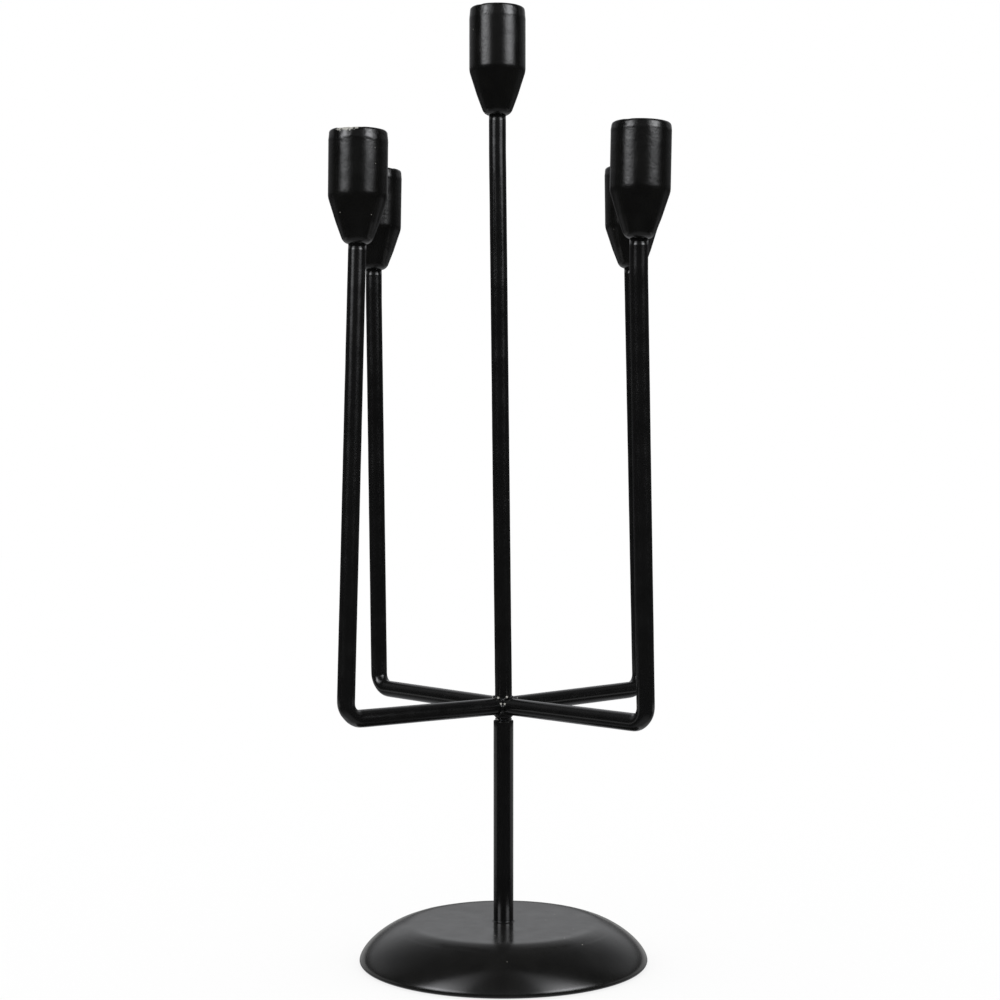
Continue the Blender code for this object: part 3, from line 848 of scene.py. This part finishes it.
def barSurface(place, out):
    # a drawn bar under thick paint is round to a few hundredths
    ripple = noise.noise((place + out * bars["radius"]) / bars["rippleSize"]) * bars["ripple"]
    return bars["radius"] - bars["paint"] + ripple


def hubHeight():
    return middle("weld_front").z


def makeArm(side):
    node = "arm_" + side
    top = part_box(node)[1].z
    seat = middle("screw_" + side)
    heading = Vector((seat.x, seat.y, 0)).normalized()
    near = sectionCentre(node, heading * bars["near"], heading)
    far = sectionCentre(node, heading * bars["far"], heading)
    lowCut = sectionCentre(node, up * (hubHeight() + bars["aboveHub"]), up)
    highCut = sectionCentre(node, up * (top - bars["belowTop"]), up)
    tipCut = sectionCentre(node, up * (top - bars["belowTip"]), up)
    slope = (far - near) / (far - near).xy.length
    rise = (highCut - lowCut) / (highCut.z - lowCut.z)
    corner = near + slope * (lowCut - near).xy.length
    for _ in range(4):
        upright = lowCut + rise * (corner.z - lowCut.z)
        corner = near + slope * (upright - near).xy.length
    start = near - slope * (near.xy.length - bars["inner"])
    shoulder = corner + rise * (top - bars["tip"] - corner.z)
    end = shoulder + (tipCut - shoulder) * (bars["tip"] + bars["intoCup"]) / (tipCut.z - shoulder.z)
    centre, outward, bend = bendBetween(start, corner, shoulder, bars["bend"], bars["bendSteps"])

    def radiusAt(place, out):
        # bent cold, the bar draws thinner round the outside of the bend
        spoke = place - centre
        inBend = 0.0
        if spoke.length < bars["bend"] * 1.3:
            inBend = max(0.0, 1 - spoke.angle(outward) / math.radians(bars["slimWithin"]))
        thinner = bars["slim"][side] * inBend ** 0.6 * max(0.0, out.dot(outward)) ** 2
        return barSurface(place, out) - thinner

    mesh = sweepBar(node, [start] + bend + [shoulder, end], radiusAt)
    finishPiece("arm_" + side + "Bar", mesh, coatedBars, "upper_section", node)


def makeRod():
    low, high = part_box("centre_rod")
    seat = middle("screw_centre")
    foot = up * low.z
    chamfer = up * bars["footBreak"]
    shoulder = sectionCentre("centre_rod", up * (high.z - bars["tip"] - 1 * mm), up)
    route = [foot, foot + chamfer, up * (hubHeight() + bars["knee"]), shoulder,
             Vector((seat.x, seat.y, high.z + bars["intoCup"]))]

    def radiusAt(place, out):
        return barSurface(place, out) - max(0.0, chamfer.z - (place - foot).length)

    mesh = sweepBar("centre_rod", route, radiusAt)
    finishPiece("centreRod", mesh, coatedBars, "upper_section", "centre_rod")


weld = {
    "between": {"front": ("front_left", "front_right"), "right": ("front_right", "back_right"),
                "back": ("back_right", "back_left"), "left": ("back_left", "front_left")},
    "seam": 1.25 * mm, "seamReach": 0.74,        # bead down between two arms, over this share of their height
    "corner": 1.0 * mm, "cornerSweep": 48,       # bead over an arm beside the rod, in degrees round it
    "around": 12, "ripple": 0.08, "rough": 0.22, "roughSize": 1.8 * mm,
    "grid": 0.19 * mm, "flow": 5,                # melted together in cells this fine, and smoothed
    # lumps left on each seam: height from the bars' middle, sideways, radius, in millimetres
    "lumps": {
        "front": [(1.7, -0.8, 0.75), (1.6, 1.1, 0.8), (4.3, -2.2, 0.9), (4.7, 1.9, 0.95), (-2.6, -0.6, 0.8)],
        "right": [(0.9, 0.7, 0.8), (3.9, -1.6, 0.9), (-2.2, 0.3, 0.7)],
        "back": [(2.1, 0.4, 0.85), (4.4, 2.0, 0.9), (-1.4, -0.9, 0.75)],
        "left": [(0.2, -0.6, 0.8), (4.2, 1.2, 0.85), (-2.8, 0.8, 0.75)],
    },
    "lumpOut": 5.9 * mm, "topLumpOut": 4.4 * mm, "topFrom": 4.0,
    "glintReach": 0.8 * mm, "glintStrength": 0.8,           # how far round its peak an upper lump gets a painted highlight, a pale spot standing in for a glint
}


def beadTube(shape, route, size):
    # a rough tube added to a bmesh, to be melted together with its neighbours
    around = weld["around"]
    rings = []
    for i, place in enumerate(route):
        ahead = (route[min(i + 1, len(route) - 1)] - route[max(i - 1, 0)]).normalized()
        side = ahead.cross(Vector((0.31, 0.17, 0.94))).normalized()
        other = ahead.cross(side)
        taper = math.sin(math.pi * (i + 0.6) / (len(route) + 0.2)) ** 0.4
        swell = 1 + weld["ripple"] * math.sin(i * 2 * math.pi / 5)
        swell += weld["rough"] * noise.noise(place / weld["roughSize"])
        ring = [shape.verts.new(place + (side * math.cos(a) + other * math.sin(a)) * size * taper * swell)
                for a in [2 * math.pi * j / around for j in range(around)]]
        rings.append(ring)
    for a, b in zip(rings, rings[1:]):
        for j in range(around):
            shape.faces.new((a[j], a[(j + 1) % around], b[(j + 1) % around], b[j]))
    shape.faces.new(rings[0][::-1])
    shape.faces.new(rings[-1])


def meltTogether(name, shape):
    # the overlapping tubes and lumps of a bmesh, fused into one smooth skin
    mesh = bpy.data.meshes.new(name)
    shape.to_mesh(mesh)
    shape.free()
    melt = bpy.data.objects.new("melt", mesh)
    bpy.context.scene.collection.objects.link(melt)
    remesh = melt.modifiers.new("melt", "REMESH")
    remesh.mode = "VOXEL"
    remesh.voxel_size = weld["grid"]
    smooth = melt.modifiers.new("flow", "SMOOTH")
    smooth.iterations = weld["flow"]
    bpy.context.view_layer.update()
    melted = bpy.data.meshes.new_from_object(melt.evaluated_get(bpy.context.evaluated_depsgraph_get()))
    bpy.data.objects.remove(melt)
    melted.materials.clear()
    return melted


def makeWeld(side):
    # beads along the seams where two neighbouring bars meet each other and the rod
    hub = up * hubHeight()
    r = bars["radius"]
    angles = [math.radians(bars["headings"][arm]) for arm in weld["between"][side]]
    ways = [Vector((math.cos(angle), math.sin(angle), 0)) for angle in angles]
    shape = bmesh.new()
    for sign in (1, -1):
        for along, across in (ways, ways[::-1]):
            route = []
            for step in range(15):
                phi = math.radians(90 - weld["cornerSweep"] * step / 14)
                route.append(hub + (along + up * sign) * r * math.sin(phi) + across * r * math.cos(phi))
            beadTube(shape, route, weld["corner"])
    between = ways[0] + ways[1]
    heights = [r * weld["seamReach"] * (1 - step / 12) for step in range(25)]
    beadTube(shape, [hub + between * math.sqrt(r * r - z * z) + up * z for z in heights], weld["seam"])
    outward = between.normalized()
    sideways = Vector((-outward.y, outward.x, 0))
    glintPeaks = []
    for height, aside, size in weld["lumps"][side]:
        out = weld["lumpOut"] if abs(height) < weld["topFrom"] else weld["topLumpOut"]
        spot = hub + outward * out + sideways * aside * mm + up * height * mm
        bmesh.ops.create_icosphere(shape, subdivisions=2, radius=size * mm, matrix=Matrix.Translation(spot))
        if height > 0:
            glintPeaks.append(spot + outward * size * mm * 0.8)
    melted = meltTogether("weld_" + side, shape)

    # painted highlight: pale spots on the tops of the upper lumps, standing in for glints of light off them
    def rubbed(point):
        off = min((point - peak).length for peak in glintPeaks) / weld["glintReach"]
        return weld["glintStrength"] * max(0.0, 1 - off ** 2)

    markWearAndGlints(melted, rubbed)
    finishPiece("weldBead_" + side, melted, coatedBars, "upper_section", "weld_" + side)


cup = {
    "around": 144, "longest": 0.55 * mm,
    # the outside, with the radius that rounds each corner and how far it is below the rim
    "radius": 13.05 * mm, "length": 49.6 * mm, "rimRound": 1.2 * mm,
    "straight": 29.2 * mm, "shoulder": 9 * mm,
    "waist": 9.5 * mm, "waistDrop": 40.3 * mm, "waistRound": 30 * mm,
    "foot": 6.0 * mm, "footRound": 4.2 * mm,
    # the bore for the candle, then the screw's head and its shank
    "bore": 11.3 * mm, "boreDeep": 27 * mm, "boreRound": 1.2 * mm, "mouthRound": 0.7 * mm,
    "pocket": 4.6 * mm, "pocketDeep": 4.5 * mm, "pocketRound": 0.3 * mm, "hole": 2.3 * mm,
    # the band of thicker paint at the rim: its depth on each cup, the run of its edge, and its form
    "band": {"centre": 5.3 * mm, "front_left": 4.9 * mm, "front_right": 3.5 * mm, "back_right": 4.2 * mm,
             "back_left": 4.4 * mm},
    "bandEdge": 0.45 * mm, "bandLift": 0.06 * mm, "rimIn": 0.46 * mm,
    "curl": 0.09 * mm, "curlDeep": 7 * mm, "curlSize": 1.5 * mm,
    # how deep a full knock cuts the rim, outside and in, and how far down it can be seen
    "notch": 0.9 * mm, "notchIn": 0.35 * mm, "lip": 1.0 * mm, "wearDeep": 3.4 * mm,
}
# knocks on the rim: degrees round from +X, half width in degrees, strength of the wear
rimKnocks = {
    "centre": [(-128, 10, 0.30)],
    "front_left": [(-103, 34, 0.66), (-124, 12, 0.7), (170, 14, 0.4)],
    "front_right": [(-120, 9, 0.32), (40, 16, 0.45)],
    "back_right": [(100, 18, 0.45)],
    "back_left": [(-40, 8, 0.3), (150, 20, 0.5)],
}


def wearAt(side, angle, drop):
    # how hard the rim is knocked at this place, fading below it
    total = 0.0
    for centre, half, strength in rimKnocks[side]:
        off = (math.degrees(angle) - centre + 180) % 360 - 180
        total = max(total, strength * max(0.0, 1 - (off / half) ** 2))
    return total * max(0.0, 1 - drop / cup["wearDeep"])


def cupOutline():
    rim = cup["length"]
    floor = rim - cup["boreDeep"]
    ledge = floor - cup["pocketDeep"]
    corners = [
        (cup["radius"], rim, cup["rimRound"], 10), (cup["radius"], rim - cup["straight"], cup["shoulder"], 8),
        (cup["waist"], rim - cup["waistDrop"], cup["waistRound"], 6), (cup["foot"], 0, cup["footRound"], 12),
        (cup["hole"], 0, 0, 0), (cup["hole"], ledge, 0, 0),
        (cup["pocket"], ledge, 0, 0), (cup["pocket"], floor, cup["pocketRound"], 3),
        (cup["bore"], floor, cup["boreRound"], 5), (cup["bore"], rim, cup["mouthRound"], 6),
    ]
    return splitLong(roundCorners(corners), cup["longest"])


def makeCup(side):
    node = "cup_" + side
    rim = cup["length"]
    seed = 7.3 * cupSides.index(side)

    def shift(r, angle, z):
        drop = rim - z
        way = Vector((math.cos(angle), math.sin(angle), 0))
        wear = wearAt(side, angle, drop)
        if r < cup["bore"] + 0.05 * mm:
            return r, z - (wear * cup["notchIn"] if drop < cup["lip"] else 0.0)
        if drop < cup["curlDeep"]:
            # the band ends in a ragged step
            spot = way * 2.1 + up * seed
            edge = cup["band"][side] * (1 + 0.16 * noise.noise(spot * 1.7) + 0.07 * noise.noise(spot * 7))
            step = min(1.0, max(0.0, (edge - drop) / cup["bandEdge"] + 0.5))
            step = step * step * (3 - 2 * step)
            lift = cup["bandLift"] * (0.7 + 0.9 * noise.noise(spot * 2.3 + up * 9))
            r += step * (lift - cup["rimIn"] * (1 - drop / edge))
            curl = noise.noise(way * 7 + Vector((0, seed, drop / cup["curlSize"])))
            r += cup["curl"] * curl * (1 - drop / cup["curlDeep"])
        dent = noise.noise(way * 9 + up * (z / mm * 0.6 + seed))
        notch = wear * (0.35 + 0.65 * abs(dent)) * cup["notch"]
        return r - notch * 0.25, z - (notch if drop < cup["lip"] else notch * 0.2)

    place = ownAxis(node)
    mesh = turn(node, cupOutline(), cup["around"], shift=shift, place=place)
    toCup = place.inverted()

    def knocked(point):
        spot = toCup @ point
        return wearAt(side, math.atan2(spot.y, spot.x), max(0.0, rim - spot.z))

    markWearAndGlints(mesh, knocked)
    finishPiece("candleCup_" + side, mesh, coatedCups, "upper_section", node)


makeCasting()
makePad()
makeWasher("base_washer", "baseWasher", "base", casting["hole"], zinc)
makeBaseScrew()
makeStem()
print("base and stem made")
makeWasher("joint_washer", "jointWasher", "joint_washer", stem["topHole"], coatedBars)
makeStud()
makeRod()
for side in armSides:
    makeArm(side)
print("rod and arms made")
for side in weld["between"]:
    makeWeld(side)
print("welds laid")
for side in cupSides:
    makeCup(side)
    makeCupScrew(side)
print("cups and their screws made")
